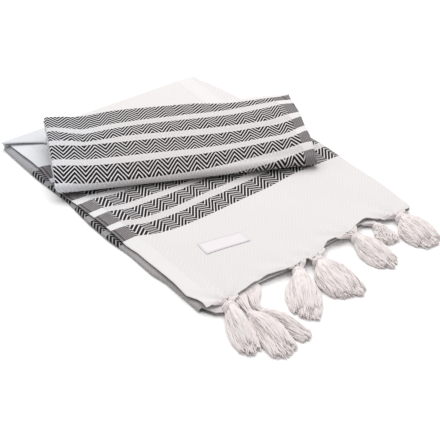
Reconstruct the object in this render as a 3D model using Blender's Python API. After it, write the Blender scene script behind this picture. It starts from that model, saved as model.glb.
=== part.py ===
"""A folded hammam towel of white cotton with a knotted fringe, in metres, +Z up.

The cloth is one sheet, folded in three across its width and then back and forth along its length.
The bottom layer runs back from the fringed hem; the rest lies on it as a bundle turned clockwise.
Every layer is a patch between two crease lines, and the folds are half rounds from one to the next.
"""
import math

import bmesh
import bpy
import numpy as np

MM = 0.001

# Cloth, in millimetres
CLOTH_THICKNESS = 1.1
BAND_WIDTH = 331.0          # the width once folded in three
LOOSE_PITCH = 3.4           # between the three plies of the bottom layer
TIGHT_PITCH = 1.36          # between the three plies of every other layer
BOTTOM_LAYER = 9.2          # height of the bottom layer, with its air
LAYER = 4.05                # height of each other layer, with its air

# The bottom layer, seen from above: the fringed hem in front, the back fold behind
LOWER_HEM_BACK = 4.0        # the two lower plies end this much behind the top one
LOWER_CORNER_REACH = 12.0   # but stick out in front of it at the left corner
CORNER_SHARE = 0.08         # of the hem's length
HEM_FADE = 6                # power by which the hem's shape dies away behind it
# The left side: place along Y, how far it stands out
LEFT_SIDE = (
    (0.0, -5.0),
    (80.0, -5.0),
    (150.0, -3.0),
    (190.0, 0.0),
    (240.0, 0.0),
    (295.0, -3.0),
    (370.0, 1.0),
    (483.0, 0.0),
)
RIGHT_BULGE = 21.0
RIGHT_BULGE_POWER = 0.55    # below 1 the right side swings out close to the hem
# Where its left edge puffs up or sinks: place along Y, reach, change of the plies' pitch
LEFT_PUFFS = (
    (60.0, 45.0, 0.7),
    (330.0, 35.0, -0.5),
    (405.0, 38.0, 0.9),
)
LEFT_PUFF_WIDTH = 70.0

# Side edges of every layer
SELVEDGE_INSET = 4.5        # the free edge lies inside the fold below it
FOLD_OUTSET = 4.0
EDGE_WAVE = 2.2             # how far the edges wander sideways
EDGE_WAVE_TURNS = 5.0       # radians of that wave for each layer
TOP_PLY_WAVE = -0.6         # the top ply wanders the other way, and less
EDGE_ZONE = 0.8             # the wandering starts at this share of the half width

# The bundle: its front line, its turn, and places across it measured from that line
BUNDLE_FRONT = (145.0, 241.0)
BUNDLE_ANGLE = -23.0
BUNDLE_SWELL = 1.6          # the top rises in the middle of the bundle
RIGHT_RISE = 4.5            # and towards its right end
RIGHT_RISE_FROM = (0.4, 1.0)    # along the bundle, as shares of its half width
SWELL_FRONT = (-25.0, 25.0) # from nothing to full between these distances from the front line
DIP_DEPTH = 1.2             # and sinks a little at the back on the left
DIP_PLACE = -0.62           # along the bundle, as a share of its half width
DIP_REACH = 0.16
DIP_BACK = (70.0, 130.0)

# Crease lines across the band, seen from above
# name, centre x, centre y, angle in degrees
FLAT_CREASES = (
    ("hem", 163.5, 0.0, 0.0),
    ("back", 163.5, 483.0, 4.3),
)
# name, distance back from the bundle's front line, extra angle in degrees
BUNDLE_CREASES = (
    ("front_23", 20.0, 1.5),
    ("back_34", 130.0, -0.8),
    ("front_45", 40.0, -1.0),
    ("back_56", 136.0, 0.7),
    ("front_67", 88.0, 0.5),
    ("back_78", 143.0, -1.0),
    ("front_89", 4.5, 0.0),
    ("back_90", 121.0, 0.4),
    ("end", 45.0, 0.8),
)
# Layers in the order in which the towel is folded
# name, first crease, last crease, stations along it, heading (1 back, -1 forward)
LAYERS = (
    ("bottom", "hem", "back", 10, 1),
    ("second", "back", "front_23", 6, -1),
    ("third", "front_23", "back_34", 3, 1),
    ("fourth", "back_34", "front_45", 5, -1),
    ("fifth", "front_45", "back_56", 3, 1),
    ("sixth", "back_56", "front_67", 3, -1),
    ("seventh", "front_67", "back_78", 3, 1),
    ("top", "back_78", "front_89", 9, -1),
    ("tucked", "front_89", "back_90", 7, 1),
    ("tucked_end", "back_90", "end", 4, -1),
)
# How the bundle is stacked on the bottom layer, lowest first
# name, front edge, length over which what lies on it sinks in front of that edge
STACKING = (
    ("second", 20.0, 40.0),
    ("third", 20.0, 40.0),
    ("tucked_end", 45.0, 60.0),
    ("tucked", 0.0, 1.0),
    ("fourth", 40.0, 50.0),
    ("fifth", 40.0, 50.0),
    ("sixth", 88.0, 45.0),
    ("seventh", 88.0, 45.0),
    ("top", 0.0, 1.0),
)
FOLD_STEPS = 4
ROUND_PLACES = (-0.36, 0.36)    # points round a side fold, as shares of a half turn

# Points across one ply, as shares of its width, and where the hem lies there along Y:
# the tassels pull it forward and it draws back between them
ACROSS = (0.0, 0.10, 0.26, 0.41, 0.515, 0.60, 0.685, 0.80, 0.925, 1.0)
HEM_Y = (3.0, 4.0, 8.0, 8.0, 12.0, 23.0, 26.0, 34.0, 27.0, 25.0)

# Tassels: knot and tip seen from above, in millimetres
# name, ply, root x, fan width, knot x, knot y, tip x, tip y, spread, knot width
TASSELS = (
    ("tassel_far", "top", 306.0, 34.0, 308.0, 10.0, 305.0, -45.0, 42.0, 15.0),
    ("tassel_second", "top", 230.0, 34.0, 233.0, 9.0, 236.0, -46.0, 36.0, 14.0),
    ("tassel_round", "top", 173.0, 26.0, 167.0, -6.0, 157.0, -70.0, 44.0, 17.0),
    ("tassel_side", "top", 139.0, 22.0, 135.0, -9.0, 94.0, -67.0, 30.0, 14.0),
    ("tassel_near", "top", 33.0, 32.0, 31.0, -12.0, 4.0, -79.0, 26.0, 16.0),
    ("tassel_low_far", "lower", 271.0, 18.0, 273.0, 18.0, 266.0, -12.0, 16.0, 10.0),
    ("tassel_low_middle", "lower", 73.0, 20.0, 58.0, -36.0, 73.0, -98.0, 18.0, 11.0),
    ("tassel_low_near", "lower", 53.0, 16.0, 45.0, -31.0, 38.0, -106.0, 28.0, 11.0),
)
TASSEL_GAP = 0.6            # between the hem and the yarns that leave it
YARN_BED = 1.3              # thickness of the flat fan of yarns between hem and knot
FAN_MIDDLE = (0.45, 0.66, 2.4, 0.4)     # share of the way to the knot, width share, height, turn
KNOT_FLATNESS = 0.78        # a knot's height as a share of its width
# The knot along the tassel, in knot widths: place, width; then height in knot heights, turn
KNOT_PROFILE = (
    (-0.72, 0.70, 0.55, 0.9),
    (-0.38, 1.00, 0.94, 1.0),
    (0.05, 1.02, 1.00, 1.0),
    (0.34, 0.86, 0.84, 1.0),
)
FLOOR_CLEARANCE = 0.1

# Locks of yarn: how many, their gap, and how they open, thin and end
LOCKS_ACROSS = 4
LOCKS_HIGH = 3
LOCK_GAP = 0.35
LOCK_WIDTH = 0.90           # of its cell's width
LOCK_HEIGHT = 0.86          # of its cell's height
LOCK_STATIONS = (0.2, 0.45, 0.7)    # shares of the length, before the tip
LOCKS_OPEN = 0.7            # share of the length where the locks are fully open
LOCK_THINNING = 1.5         # share lost for each share of the length past the last station
OUTER_LOCKS_SHORTER = 0.12  # share of the length
UPPER_LOCKS_SHORTER = 0.06  # share of the length for each row
UNEVEN_ENDS = 0.06

# Label, sewn flat on the front band
LABEL_CENTRE = (99.0, 98.0)
LABEL_SIZE = (59.0, 24.0)
LABEL_ANGLE = -6.5
LABEL_THICKNESS = 0.7
LABEL_GAP = 0.3

SMOOTH_ANGLE = 50.0

# Colours: base colour, roughness
FINISHES = {
    "cotton": ((0.86, 0.85, 0.86), 0.9),
    "yarn": ((0.88, 0.86, 0.85), 0.85),
    "satin": ((0.84, 0.83, 0.86), 0.45),
}


def clear_scene():
    for obj in list(bpy.data.objects):
        bpy.data.objects.remove(obj, do_unlink=True)


def material(name):
    colour, roughness = FINISHES[name]
    made = bpy.data.materials.new(name)
    made.use_nodes = True
    shader = made.node_tree.nodes["Principled BSDF"]
    shader.inputs["Base Color"].default_value = (*colour, 1.0)
    shader.inputs["Roughness"].default_value = roughness
    shader.inputs["Metallic"].default_value = 0.0
    return made


def smoothstep(low, high, value):
    share = np.clip((value - low) / (high - low), 0.0, 1.0)
    return share * share * (3.0 - 2.0 * share)


def bump(value, centre, reach):
    return np.exp(-(((value - centre) / reach) ** 2))


# ---- crease lines -------------------------------------------------------------------------

def direction_at(degrees):
    angle = math.radians(degrees)
    return np.array([math.cos(angle), math.sin(angle)])


def bundle_axes():
    """The directions along the bundle's front line and straight back from it."""
    return direction_at(BUNDLE_ANGLE), direction_at(BUNDLE_ANGLE + 90.0)


def crease_lines():
    """Each crease as its centre and its direction, seen from above."""
    lines = {}
    for name, x, y, degrees in FLAT_CREASES:
        lines[name] = (np.array([x, y]), direction_at(degrees))
    _, back = bundle_axes()
    for name, depth, extra in BUNDLE_CREASES:
        centre = np.array(BUNDLE_FRONT) + depth * back
        lines[name] = (centre, direction_at(BUNDLE_ANGLE + extra))
    return lines


LINES = crease_lines()


def on_crease(name, across):
    """Points on a crease; across is the distance from the middle of the band."""
    centre, direction = LINES[name]
    return centre + np.outer(across, direction)


def outward(name, heading):
    """The level direction in which a fold on this crease bulges."""
    _, direction = LINES[name]
    return heading * np.array([-direction[1], direction[0]])


# ---- heights ------------------------------------------------------------------------------

def depth_in_bundle(points):
    _, back = bundle_axes()
    return (points - np.array(BUNDLE_FRONT)) @ back


def along_bundle(points):
    along, _ = bundle_axes()
    return (points - np.array(BUNDLE_FRONT)) @ along


def loose_pitch(points):
    """The bottom layer's plies stand further apart where its left edge puffs up."""
    x, y = points[:, 0], points[:, 1]
    puff = sum(change * bump(y, place, reach) for place, reach, change in LEFT_PUFFS)
    return LOOSE_PITCH + smoothstep(LEFT_PUFF_WIDTH, 0.0, x) * puff


def bundle_relief(points):
    """How far the top of the bundle rises or sinks from an even stack."""
    depth = depth_in_bundle(points)
    side = along_bundle(points) / (BAND_WIDTH / 2)
    rise = BUNDLE_SWELL * (1.0 - side**2) + RIGHT_RISE * smoothstep(*RIGHT_RISE_FROM, side)
    dip = DIP_DEPTH * bump(side, DIP_PLACE, DIP_REACH) * smoothstep(*DIP_BACK, depth)
    return (rise - dip) * smoothstep(*SWELL_FRONT, depth)


def layer_height(name, points):
    """The height of a layer's middle ply."""
    if name == "bottom":
        return loose_pitch(points) + CLOTH_THICKNESS / 2
    depth = depth_in_bundle(points)
    height = np.full(len(points), BOTTOM_LAYER + LAYER / 2)
    level = 0
    for lower, edge, sink in STACKING:
        if lower == name:
            break
        level += 1
        height = height + LAYER * smoothstep(edge - sink, edge, depth)
    return height + level / (len(STACKING) - 1) * bundle_relief(points)


def layer_pitch(name, points):
    if name == "bottom":
        return loose_pitch(points)
    return np.full(len(points), TIGHT_PITCH)


# ---- the band's own section ---------------------------------------------------------------

def side_fold(side, ply, level):
    """Points round the fold that joins two plies, at the left (-1) or right (1) edge."""
    points = []
    for place in ROUND_PLACES:
        angle = place * math.pi
        across = side * (BAND_WIDTH / 2 + FOLD_OUTSET * math.cos(angle))
        points.append((across, level + math.sin(angle) / 2, ply))
    return points


def band_section():
    """The three plies and the two folds between them, as a line of points (across, level, ply).

    The line starts at the right free edge of the lowest ply and ends at the left free edge of the
    highest. Levels are in pitches from the middle ply. Plies are 0, 1 and 2 from below.
    """
    half = BAND_WIDTH / 2
    short = BAND_WIDTH - SELVEDGE_INSET
    line = [(-half + share * short, -1.0, 0) for share in reversed(ACROSS)]
    line += side_fold(-1, 0, -0.5)
    line += [(-half + share * BAND_WIDTH, 0.0, 1) for share in ACROSS]
    line += side_fold(1, 2, 0.5)
    line += [(half - (1.0 - share) * short, 1.0, 2) for share in reversed(ACROSS)]
    return line


def section_normals(section):
    """The direction across the cloth at each point of the section."""
    points = np.array([[across, level * TIGHT_PITCH] for across, level, _ in section])
    ahead = np.vstack([points[1:], points[-1:]])
    behind = np.vstack([points[:1], points[:-1]])
    tangent = ahead - behind
    tangent /= np.linalg.norm(tangent, axis=1)[:, None]
    return np.column_stack([-tangent[:, 1], tangent[:, 0]])


SECTION = band_section()
SECTION_NORMAL = section_normals(SECTION)


def edge_wave(turns):
    """The sideways shift of the edges, so many layers and folds from the fringed hem."""
    return EDGE_WAVE * math.sin(EDGE_WAVE_TURNS * turns)


def ring(place, pitch, up, wave, hem_share=0.0):
    """One closed ring of points around the whole section.

    place(across) gives the middle ply's points, pitch(points) the ply pitch there, and up(points)
    the direction in which the plies are stacked. hem_share says how much of the hem's shape shows.
    """
    across, level, ply = (np.array(column) for column in zip(*SECTION))
    edge = np.abs(across) / (BAND_WIDTH / 2)
    shift = 1.0 + (TOP_PLY_WAVE - 1.0) * np.clip(level, 0.0, 1.0)
    across = across + wave * smoothstep(EDGE_ZONE, 1.0, edge) * shift
    centre = place(across)
    stack = up(centre)
    middle = centre + (level * pitch(centre))[:, None] * stack
    middle[:, 1] += hem_share * hem_line(across, ply)
    sideways = place(across + SECTION_NORMAL[:, 0]) - centre
    sideways[:, 2] = 0.0
    offset = CLOTH_THICKNESS / 2 * (sideways + SECTION_NORMAL[:, 1:2] * stack)
    return np.vstack([middle + offset, (middle - offset)[::-1]])


def hem_line(across, ply):
    """The hem's shape, as a shift along Y from the hem crease."""
    half = BAND_WIDTH / 2
    shares = np.array(ACROSS)
    top_nodes = half - (1.0 - shares) * (BAND_WIDTH - SELVEDGE_INSET)
    lower_nodes = -half + shares * BAND_WIDTH
    corner = LOWER_CORNER_REACH * smoothstep(CORNER_SHARE, 0.0, shares)
    top = np.interp(across, top_nodes, np.array(HEM_Y))
    lower = np.interp(across, lower_nodes, np.array(HEM_Y) + LOWER_HEM_BACK - corner)
    return np.where(ply == 2, top, lower)


def hem_front(x, ply):
    """How far forward the hem of a ply reaches at this place."""
    centre, direction = LINES["hem"]
    across = (x - centre[0]) / direction[0]
    shift = hem_line(np.array([across]), np.array([ply]))[0]
    return centre[1] + across * direction[1] + shift


def sheet_rings():
    """Every ring of the sheet, from the fringed hem to the tucked end."""
    rings = []
    for index, (name, first, last, stations, heading) in enumerate(LAYERS):
        wave = edge_wave(index)
        for station in range(stations):
            share = station / (stations - 1)
            rings.append(layer_ring(name, first, last, share, heading, wave))
        if index + 1 < len(LAYERS):
            following = LAYERS[index + 1][0]
            for step in range(1, FOLD_STEPS):
                share = step / FOLD_STEPS
                wave = edge_wave(index + share)
                rings.append(fold_ring(name, following, last, share, heading, wave))
    return rings


def layer_ring(name, first, last, share, heading, wave):
    """A ring part of the way from a layer's first crease to its last."""
    flat = name == "bottom"

    def place(across):
        plan = (1 - share) * on_crease(first, across) + share * on_crease(last, across)
        if flat:
            side = across / (BAND_WIDTH / 2)
            swing = max(0.0, math.sin(math.pi * share))
            left = np.interp(plan[:, 1], *zip(*LEFT_SIDE))
            right = RIGHT_BULGE * swing**RIGHT_BULGE_POWER
            plan[:, 0] += np.where(side < 0, left, right) * side
        return np.column_stack([plan, layer_height(name, plan)])

    def pitch(points):
        return layer_pitch(name, points[:, :2])

    def up(points):
        return np.tile([0.0, 0.0, float(heading)], (len(points), 1))

    hem_share = (1 - share) ** HEM_FADE if flat else 0.0
    return ring(place, pitch, up, wave, hem_share)


def fold_ring(below, above, crease, share, heading, wave):
    """A ring part of the way round the half round that joins two layers at a crease."""
    level_out = outward(crease, heading)
    angle = math.pi * share

    def place(across):
        plan = on_crease(crease, across)
        start = layer_height(below, plan)
        end = layer_height(above, plan)
        radius = np.abs(end - start) / 2
        swept = plan + np.outer(radius * math.sin(angle), level_out)
        height = (start + end) / 2 + (start - end) / 2 * math.cos(angle)
        return np.column_stack([swept, height])

    def pitch(points):
        plan = points[:, :2]
        return (1 - share) * layer_pitch(below, plan) + share * layer_pitch(above, plan)

    def up(points):
        plan = points[:, :2]
        rising = np.sign(layer_height(above, plan) - layer_height(below, plan))
        stack = np.zeros((len(points), 3))
        stack[:, :2] = np.outer(-heading * math.sin(angle) * rising, level_out)
        stack[:, 2] = heading * math.cos(angle)
        return stack

    return ring(place, pitch, up, wave)


# ---- meshes -------------------------------------------------------------------------------

def add_object(name, mesh_data, finish):
    """An object from a bmesh in millimetres, faces turned out."""
    bmesh.ops.recalc_face_normals(mesh_data, faces=mesh_data.faces)
    bmesh.ops.scale(mesh_data, vec=(MM, MM, MM), verts=mesh_data.verts)
    mesh = bpy.data.meshes.new(name)
    mesh_data.to_mesh(mesh)
    mesh_data.free()
    mesh.shade_smooth()
    mesh.set_sharp_from_angle(angle=math.radians(SMOOTH_ANGLE))
    obj = bpy.data.objects.new(name, mesh)
    obj.data.materials.append(finish)
    bpy.context.scene.collection.objects.link(obj)
    return obj


def skin(rings, mesh_data):
    """Joins rings of equal length into a tube; returns the rows of vertices."""
    rows = [[mesh_data.verts.new(point) for point in points] for points in rings]
    for one, other in zip(rows, rows[1:]):
        for i in range(len(one)):
            j = (i + 1) % len(one)
            mesh_data.faces.new((one[i], one[j], other[j], other[i]))
    return rows


def cap_sheet(row, mesh_data):
    """Closes one end of the sheet with a quad between each pair of points across the cloth."""
    count = len(row) // 2
    for i in range(count - 1):
        mesh_data.faces.new((row[i], row[i + 1], row[-i - 2], row[-i - 1]))


def make_cloth(finish):
    mesh_data = bmesh.new()
    rows = skin(sheet_rings(), mesh_data)
    cap_sheet(rows[0], mesh_data)
    cap_sheet(rows[-1], mesh_data)
    return add_object("towel_cloth", mesh_data, finish)


# ---- tassels ------------------------------------------------------------------------------

def rounded_grid(width, height):
    """Points of a rounded flat section, LOCKS_ACROSS by LOCKS_HIGH cells, as a grid of rows."""
    rows = []
    for j in range(LOCKS_HIGH + 1):
        v = 2 * j / LOCKS_HIGH - 1
        row = []
        for i in range(LOCKS_ACROSS + 1):
            u = 2 * i / LOCKS_ACROSS - 1
            x = u * math.sqrt(1 - v * v / 2)
            z = v * math.sqrt(1 - u * u / 2)
            row.append((x * width / 2, z * height / 2))
        rows.append(row)
    return rows


def border(grid):
    """The grid's outer points in order round it."""
    top, bottom = grid[-1], grid[0]
    right = [row[-1] for row in grid[1:-1]]
    left = [row[0] for row in grid[1:-1]]
    return bottom + right + top[::-1] + left[::-1]


def hem_grid(root, fan, ply):
    """The yarns' flat section where they leave the hem, following its line."""
    rows = []
    for row in rounded_grid(fan, YARN_BED):
        points = []
        for x, z in row:
            front = hem_front(root[0] + x, ply) - TASSEL_GAP
            points.append(np.array([root[0] + x, front, root[2] + z]))
        rows.append(points)
    return rows


def standing_grid(middle, width, height, across):
    """An upright section of the tassel, lifted where it would sink into the floor."""
    lift = max(0.0, FLOOR_CLEARANCE - (middle[2] - height / 2))
    up = np.array([0.0, 0.0, 1.0])
    rows = []
    for row in rounded_grid(width, height):
        rows.append([middle + x * across + (z + lift) * up for x, z in row])
    return rows


def turned_across(share, side):
    """The section's own direction, so much of the way from the hem's to the skirt's."""
    across = (1 - share) * np.array([1.0, 0.0, 0.0]) + share * side
    return across / np.linalg.norm(across)


def make_tassel(row, finish):
    """A fan of yarns from the hem, the knot that gathers it, and the locks in front of it."""
    name, layer, root_x, fan, knot_x, knot_y, tip_x, tip_y, spread, knot_width = row
    ply = 2 if layer == "top" else 1
    knot_height = KNOT_FLATNESS * knot_width
    root = np.array([root_x, hem_front(root_x, ply), ply * LOOSE_PITCH + CLOTH_THICKNESS / 2])
    knot = np.array([knot_x, knot_y, knot_height / 2])
    toward = np.array([tip_x - knot_x, tip_y - knot_y, 0.0])
    length = np.linalg.norm(toward)
    forward = toward / length
    side = np.array([-forward[1], forward[0], 0.0])

    grids = [hem_grid(root, fan, ply)]
    place, narrowing, height, turn = FAN_MIDDLE
    neck = knot + KNOT_PROFILE[0][0] * knot_width * forward
    middle = (1 - place) * root + place * neck
    grids.append(standing_grid(middle, narrowing * fan, height, turned_across(turn, side)))
    for place, width, height, turn in KNOT_PROFILE:
        middle = knot + place * knot_width * forward
        across = turned_across(turn, side)
        grids.append(standing_grid(middle, width * knot_width, height * knot_height, across))

    mesh_data = bmesh.new()
    rows = skin([border(grid) for grid in grids], mesh_data)
    cell_cap(rows[0], grids[0], mesh_data)
    front = cell_cap(rows[-1], grids[-1], mesh_data)
    for face, i, j in front:
        grow_lock(mesh_data, face, i, j, (knot, forward, side), length, spread, knot_height)
    return add_object(name, mesh_data, finish)


def cell_cap(ring_verts, grid, mesh_data):
    """Closes a ring with the grid's cells; returns their faces with their place in the grid."""
    across, high = LOCKS_ACROSS + 1, LOCKS_HIGH + 1
    order = [(i, 0) for i in range(across)]
    order += [(across - 1, j) for j in range(1, high - 1)]
    order += [(i, high - 1) for i in reversed(range(across))]
    order += [(0, j) for j in reversed(range(1, high - 1))]
    verts = dict(zip(order, ring_verts))
    for j in range(1, high - 1):
        for i in range(1, across - 1):
            verts[(i, j)] = mesh_data.verts.new(grid[j][i])
    faces = []
    for j in range(LOCKS_HIGH):
        for i in range(LOCKS_ACROSS):
            corners = ((i, j), (i + 1, j), (i + 1, j + 1), (i, j + 1))
            faces.append((mesh_data.faces.new([verts[c] for c in corners]), i, j))
    return faces


def grow_lock(mesh_data, face, i, j, axes, length, spread, knot_height):
    """One cell of the tassel's head, inset and drawn out into a four-sided lock of yarns.

    At the same distance from the knot every lock has opened and thinned by the same share, so
    neighbours stay side by side.
    """
    knot, forward, side = axes
    up = np.array([0.0, 0.0, 1.0])
    half_wide = LOCK_WIDTH * spread / LOCKS_ACROSS / 2
    row_height = knot_height / LOCKS_HIGH
    half_high = LOCK_HEIGHT * row_height / 2
    bmesh.ops.inset_individual(mesh_data, faces=[face], thickness=LOCK_GAP)
    corners = [np.array(loop.vert.co) for loop in face.loops]
    middle = sum(corners) / len(corners)
    local = [corner - middle for corner in corners]
    start_reach = np.dot(middle - knot, forward)
    start_side = np.dot(middle - knot, side)
    sideways = (i + 0.5) / LOCKS_ACROSS * 2 - 1
    uneven = UNEVEN_ENDS * math.sin(5 * i + 3 * j + length)
    shorter = OUTER_LOCKS_SHORTER * sideways**2 + UPPER_LOCKS_SHORTER * j
    for share in (*LOCK_STATIONS, 1.0 - shorter + uneven):
        opened = math.sin(math.pi / 2 * min(1.0, share / LOCKS_OPEN))
        thinned = 1.0 - LOCK_THINNING * max(0.0, share - LOCK_STATIONS[-1])
        reach = start_reach + share * (length - start_reach)
        wide = (1 - opened) * start_side + opened * sideways * spread / 2
        rest_height = row_height * (j + 0.5) * thinned + FLOOR_CLEARANCE
        height = (1 - opened) * middle[2] + opened * rest_height
        centre = np.array([*knot[:2], height]) + reach * forward + wide * side
        face = bmesh.ops.extrude_discrete_faces(mesh_data, faces=[face])["faces"][0]
        for loop, v in zip(face.loops, local):
            sidestep = math.copysign(half_wide, np.dot(v, side))
            rise = math.copysign(half_high, v[2])
            square = thinned * (sidestep * side + rise * up)
            loop.vert.co = centre + (1 - opened) * v + opened * square


# ---- label and placing --------------------------------------------------------------------

def make_label(finish):
    """A flat satin strip on the top ply of the front band."""
    base = 2 * LOOSE_PITCH + CLOTH_THICKNESS + LABEL_GAP
    mesh_data = bmesh.new()
    bmesh.ops.create_cube(mesh_data, size=1.0)
    bmesh.ops.scale(mesh_data, vec=(*LABEL_SIZE, LABEL_THICKNESS), verts=mesh_data.verts)
    along, back = direction_at(LABEL_ANGLE), direction_at(LABEL_ANGLE + 90.0)
    for vert in mesh_data.verts:
        plan = np.array(LABEL_CENTRE) + vert.co.x * along + vert.co.y * back
        vert.co = (*plan, vert.co.z + base + LABEL_THICKNESS / 2)
    return add_object("label", mesh_data, finish)


def centre_on_origin(objects):
    """Moves everything so that the middle of its underside is the origin."""
    corners = np.array([vert.co[:] for obj in objects for vert in obj.data.vertices])
    low, high = corners.min(axis=0), corners.max(axis=0)
    shift = (-(low[0] + high[0]) / 2, -(low[1] + high[1]) / 2, -low[2])
    for obj in objects:
        for vert in obj.data.vertices:
            vert.co.x += shift[0]
            vert.co.y += shift[1]
            vert.co.z += shift[2]


def main():
    clear_scene()
    cotton, yarn, satin = (material(name) for name in ("cotton", "yarn", "satin"))
    objects = [make_cloth(cotton), make_label(satin)]
    objects += [make_tassel(row, yarn) for row in TASSELS]
    centre_on_origin(objects)


main()
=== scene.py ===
"""A folded hammam towel of white herringbone cotton, with black zigzag stripes.

It has a knotted fringe and a bare label. Sizes are in millimetres, measured from the left front
corner of the folded stack: x to the right, y back from the fringe, z up. in_frame() turns them
into the frame's metres.
"""

import collections
import functools
import math
import random

import bpy
import numpy as np
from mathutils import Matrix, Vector


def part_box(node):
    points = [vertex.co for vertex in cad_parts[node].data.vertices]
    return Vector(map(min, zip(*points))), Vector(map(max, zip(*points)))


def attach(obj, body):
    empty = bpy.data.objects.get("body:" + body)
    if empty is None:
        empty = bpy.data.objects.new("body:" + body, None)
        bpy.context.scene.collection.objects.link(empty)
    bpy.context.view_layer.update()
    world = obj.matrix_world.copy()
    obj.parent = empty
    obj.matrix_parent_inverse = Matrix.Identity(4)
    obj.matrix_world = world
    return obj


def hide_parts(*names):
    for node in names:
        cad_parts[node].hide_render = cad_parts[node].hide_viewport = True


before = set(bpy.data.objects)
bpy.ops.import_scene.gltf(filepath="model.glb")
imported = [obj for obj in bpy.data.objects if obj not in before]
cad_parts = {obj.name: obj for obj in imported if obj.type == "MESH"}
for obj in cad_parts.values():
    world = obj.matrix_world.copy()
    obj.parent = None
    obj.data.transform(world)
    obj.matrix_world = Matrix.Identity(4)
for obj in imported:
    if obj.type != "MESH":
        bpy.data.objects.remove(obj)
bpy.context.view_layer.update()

MM = 0.001

# Camera of the photograph
CAMERA_AT = (-541.7, -787.1, 733)
CAMERA_TILT = 32.387  # degrees below level
CAMERA_HEADING = 35.665  # degrees clockwise from +Y
CAMERA_LENS = 90.0
CAMERA_SENSOR = 36.0

# Floor and light, in metres and watts
FLOOR_REACH = 30.0
FLOOR_COLOUR = (0.95, 0.95, 0.95)
LIGHT_AT = (0.35, 0.55, 1.9)
LIGHT_SIZE = 2.4
LIGHT_POWER = 42.0
LIGHT_COLOUR = (1, 0.992, 0.985)
WORLD_STRENGTH = 0.62

# Label, as it is sewn on the front band
LABEL_CENTRE = (99, 98)
LABEL_SIZE = (59, 24)
LABEL_ANGLE = -6.5
LABEL_THICKNESS = 0.5
LABEL_GAP = 0.35
LABEL_HEM = 4.0  # folded under at its two short ends
LABEL_HEM_EASE = 0.6
LABEL_HEM_RISE = 0.25
LABEL_PUFF = 0.35  # at its middle
LABEL_PINCH = 0.18  # of its long sides, between their stitches
LABEL_POINTS = (61, 25)
STITCH_PITCH = 2.6
STITCH_SHARE = 0.62  # of that pitch
STITCH_INSET = 1.5
STITCH_WIDTH = 0.35

# Cloth
CLOTH_THICKNESS = 1.0
BAND_WIDTH = 331.0  # the width once folded in three
HALF_BAND = BAND_WIDTH / 2
SELVEDGE_INSET = 4.5  # of the free edges
OUTER_PLY = BAND_WIDTH - SELVEDGE_INSET
LOOSE_PITCH = 3.3  # between the bottom layer's plies
TIGHT_PITCH = 1.36  # between those of every other layer
BOTTOM_LAYER = 9.2  # its height, with its air
LAYER = 4.05  # the same of each other layer

# Bottom layer
LOWER_HEM_BACK = 4.0  # its lower plies end this much behind the top one
# But a lobe of them comes forward at the left corner: share of the width, shift along Y
LOWER_CORNER = ((0, 3), (0.0245, -13), (0.055, -19), (0.0915, -6), (0.13, 0))
HEM_FADE = 6  # power by which the hem's shape fades behind it
# How far its left side stands out, and its top ply's edge there: place along Y, reach
LEFT_SIDE = ((0, -8), (76, -8), (100, -4), (150, -4), (190, 0), (235, 0.5), (295, -3),
             (370, 1), (430, 1), (483, 0))
LEFT_TOP_EDGE = ((0, -5), (22, -7), (36, -0.6), (64, -2.6), (90, -2.5), (141, -2.7), (160, 0.5),
                 (240, 0.6), (280, 2.4), (302, 5.9), (379, -2.3), (430, 0), (483, 0))
RIGHT_BULGE = 21.0
RIGHT_BULGE_POWER = 0.55  # below 1 it begins close to the hem
# Where its left side puffs up or sinks: place along Y, reach, change of the plies' pitch
LEFT_PUFFS = ((60, 45, 0.7), (180, 50, 0.5), (330, 35, -0.5), (405, 38, 0.9))
LEFT_PUFF_WIDTH = 45.0
# How far the second layer's left side is drawn in: place along Y, reach
SECOND_DRAWN_IN = ((322, 0), (390, 33), (425, 48), (441, 47), (458, 22), (470, 0))
SECOND_DRAWN_POWER = 2.5
SECOND_SAG = (1.6, 435, 24)  # that side sinks: height, place along Y, reach

# Side edges of every layer
FOLD_OUTSET = 4.0  # bulge of the folds between plies
FOLD_SPAN = 0.43  # of a half turn, up and down
EDGE_WAVE = 2.2  # the edges lie in and out from layer to layer
EDGE_WAVE_TURNS = 5.0  # radians per layer
TOP_PLY_WAVE = -0.6  # the uppermost ply's goes the other way
EDGE_ZONE = 0.8  # of the half width; beyond it they do

# The bundle: the middle of its front line, and how that line is turned
BUNDLE_FRONT = (145, 241)
BUNDLE_ANGLE = -23.0
BUNDLE_SWELL = 1.6  # at its middle
RIGHT_RISE = 4.5  # at its right side
RIGHT_RISE_FROM = (0.4, 1)
SWELL_FRONT = (-25, 25)
# A dip at its back left: depth, then place and reach in half widths, then where it deepens
DIP_DEPTH = 4.0
DIP_PLACE = -0.72
DIP_REACH = 0.17
DIP_BACK = (65, 132)
FREE_EDGE_REACH = 13.0  # its free edge sticks out this far

# Where the band's middle crosses the hem and the back fold, and their angle
HEM_CREASE = (163.5, 0, 0)
BACK_CREASE = (163.5, 483, 4.3)
BOTTOM_STATIONS = 112
# Layers over the bottom one, in the cloth's order: name, stations along it, and the crease at its
# end: distance back from the bundle's front line, extra angle
LAYERS = (
    ("second", 34, 20, 1.5),
    ("third", 7, 130, -0.8),
    ("fourth", 7, 40, -1),
    ("fifth", 7, 136, 0.7),
    ("sixth", 7, 88, 0.5),
    ("seventh", 7, 145.5, -1.87),
    ("top", 44, 4.5, 0),
    ("tucked", 16, 121, 0.4),
    ("tucked_end", 7, 45, 0.8),
)
# Lowest first: name, front edge, length over which what lies on it sinks in front of it
STACKING = (
    ("second", 20, 40),
    ("third", 20, 40),
    ("tucked_end", 45, 60),
    ("tucked", 0, 1),
    ("fourth", 40, 50),
    ("fifth", 40, 50),
    ("sixth", 88, 45),
    ("seventh", 88, 45),
    ("top", 0, 1),
)
TUCKED_SINK = 20.0  # the same length for the tucked layers
ON_BUNDLE = ("seventh", "top", "tucked", "tucked_end")

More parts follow.
